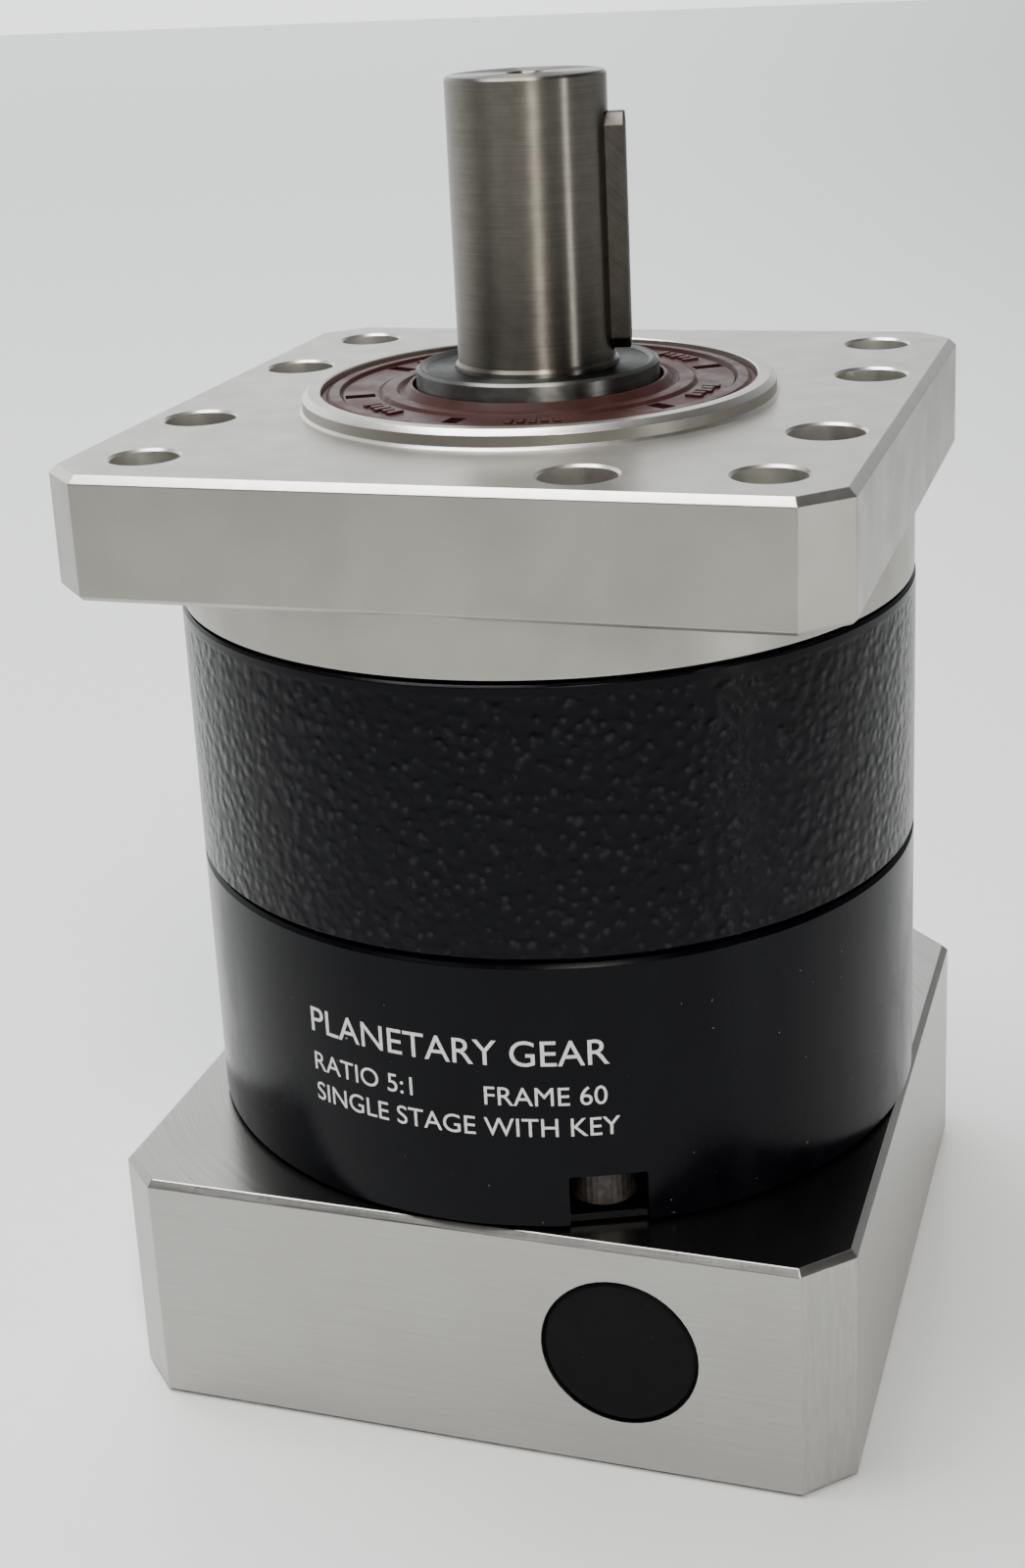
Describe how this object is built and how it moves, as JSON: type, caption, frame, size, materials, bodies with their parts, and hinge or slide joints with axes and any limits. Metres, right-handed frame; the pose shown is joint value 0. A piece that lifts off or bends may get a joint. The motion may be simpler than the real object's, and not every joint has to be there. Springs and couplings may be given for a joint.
{
  "type": "planetary gearbox",
  "caption": "Inline single-stage planetary gearbox with a square output flange, a keyed shaft, a round black body and a square motor adapter with a clamp hub.",
  "frame": {"origin": "centre of the motor face (the adapter's underside), on the gearbox axis", "axes": "+Z along the gearbox axis from the motor face to the output shaft's end; -Y is the side with the clamp access plug"},
  "size_m": [0.06, 0.06, 0.1031],
  "materials": {
    "flange_aluminium": "satin machined",
    "adapter_aluminium": "brushed",
    "hammered_black": "hammered enamel, semi-gloss",
    "satin_black": "satin black oxide",
    "shaft_steel": "ground",
    "key_steel": "drawn, dull",
    "collar_steel": "turned",
    "bearing_steel": "polished bearing steel",
    "cage_brass": "satin",
    "seal_rubber": "matt nitrile, reddish brown",
    "black_rubber": "matt",
    "screw_black": "black oxide",
    "gear_steel": "ground gear steel",
    "bush_bronze": "turned bronze",
    "spring_steel": "phosphated"
  },
  "bodies": {
    "housing": {"output_flange": "flange_aluminium", "ring_gear": "hammered_black", "input_housing": "satin_black", "motor_adapter": "adapter_aluminium", "output_seal": "seal_rubber", "input_seal": "black_rubber", "flange_o_ring": "black_rubber", "housing_o_ring": "black_rubber", "input_bearing_circlip": "spring_steel", "dowel_pin_1": "bearing_steel", "dowel_pin_2": "bearing_steel", "flange_screw_1": "screw_black", "flange_screw_2": "screw_black", "flange_screw_3": "screw_black", "flange_screw_4": "screw_black", "flange_screw_5": "screw_black", "flange_screw_6": "screw_black", "adapter_screw_1": "screw_black", "adapter_screw_2": "screw_black", "adapter_screw_3": "screw_black", "adapter_screw_4": "screw_black", "front_bearing_outer_ring": "bearing_steel", "rear_bearing_outer_ring": "bearing_steel", "input_bearing_outer_ring": "bearing_steel"},
    "plug": {"access_plug": "black_rubber"},
    "output": {"output_shaft": "shaft_steel", "shaft_key": "key_steel", "shaft_collar": "collar_steel", "bearing_spacer": "gear_steel", "carrier_rear_plate": "gear_steel", "planet_pin_1": "bearing_steel", "planet_pin_2": "bearing_steel", "planet_pin_3": "bearing_steel", "carrier_screw_1": "screw_black", "carrier_screw_2": "screw_black", "carrier_screw_3": "screw_black", "thrust_washer_1": "bush_bronze", "thrust_washer_2": "bush_bronze", "thrust_washer_3": "bush_bronze", "thrust_washer_4": "bush_bronze", "thrust_washer_5": "bush_bronze", "thrust_washer_6": "bush_bronze", "front_bearing_inner_ring": "bearing_steel", "rear_bearing_inner_ring": "bearing_steel"},
    "input": {"sun_gear": "gear_steel", "clamp_collar": "spring_steel", "clamp_screw": "screw_black", "input_shaft_circlip": "spring_steel", "input_bearing_inner_ring": "bearing_steel"},
    "front_balls": {"front_bearing_ball_cage": "cage_brass"},
    "rear_balls": {"rear_bearing_ball_cage": "cage_brass"},
    "input_balls": {"input_bearing_ball_cage": "cage_brass"},
    "planet_1": {"planet_gear_1": "gear_steel", "planet_bush_1": "bush_bronze"},
    "planet_2": {"planet_gear_2": "gear_steel", "planet_bush_2": "bush_bronze"},
    "planet_3": {"planet_gear_3": "gear_steel", "planet_bush_3": "bush_bronze"}
  },
  "joints": [
    {"name": "output_spin", "type": "hinge", "parent": "housing", "child": "output", "pos_m": [0, 0, 0.0905], "axis": [0, 0, 1], "continuous": true},
    {"name": "input_spin", "type": "hinge", "parent": "housing", "child": "input", "pos_m": [0, 0, 0.0103], "axis": [0, 0, 1], "continuous": true},
    {"name": "planet_1_spin", "type": "hinge", "parent": "output", "child": "planet_1", "pos_m": [0, 0.0135, 0.048], "axis": [0, 0, 1], "continuous": true},
    {"name": "planet_2_spin", "type": "hinge", "parent": "output", "child": "planet_2", "pos_m": [-0.01169, -0.00675, 0.048], "axis": [0, 0, 1], "continuous": true},
    {"name": "planet_3_spin", "type": "hinge", "parent": "output", "child": "planet_3", "pos_m": [0.01169, -0.00675, 0.048], "axis": [0, 0, 1], "continuous": true},
    {"name": "front_cage_spin", "type": "hinge", "parent": "housing", "child": "front_balls", "pos_m": [0, 0, 0.0728], "axis": [0, 0, 1], "continuous": true},
    {"name": "rear_cage_spin", "type": "hinge", "parent": "housing", "child": "rear_balls", "pos_m": [0, 0, 0.0629], "axis": [0, 0, 1], "continuous": true},
    {"name": "input_cage_spin", "type": "hinge", "parent": "housing", "child": "input_balls", "pos_m": [0, 0, 0.0308], "axis": [0, 0, 1], "continuous": true},
    {"name": "plug_pull", "type": "slide", "parent": "housing", "child": "plug", "axis": [0, -1, 0], "range_m": [0, 0.012]}
  ],
  "couplings": [
    {"joint": "input_spin", "follows": "output_spin", "ratio": 5},
    {"joint": "planet_1_spin", "follows": "output_spin", "ratio": -2.6667},
    {"joint": "planet_2_spin", "follows": "output_spin", "ratio": -2.6667},
    {"joint": "planet_3_spin", "follows": "output_spin", "ratio": -2.6667},
    {"joint": "front_cage_spin", "follows": "output_spin", "ratio": 0.39286},
    {"joint": "rear_cage_spin", "follows": "output_spin", "ratio": 0.39286},
    {"joint": "input_cage_spin", "follows": "output_spin", "ratio": 1.9643}
  ]
}
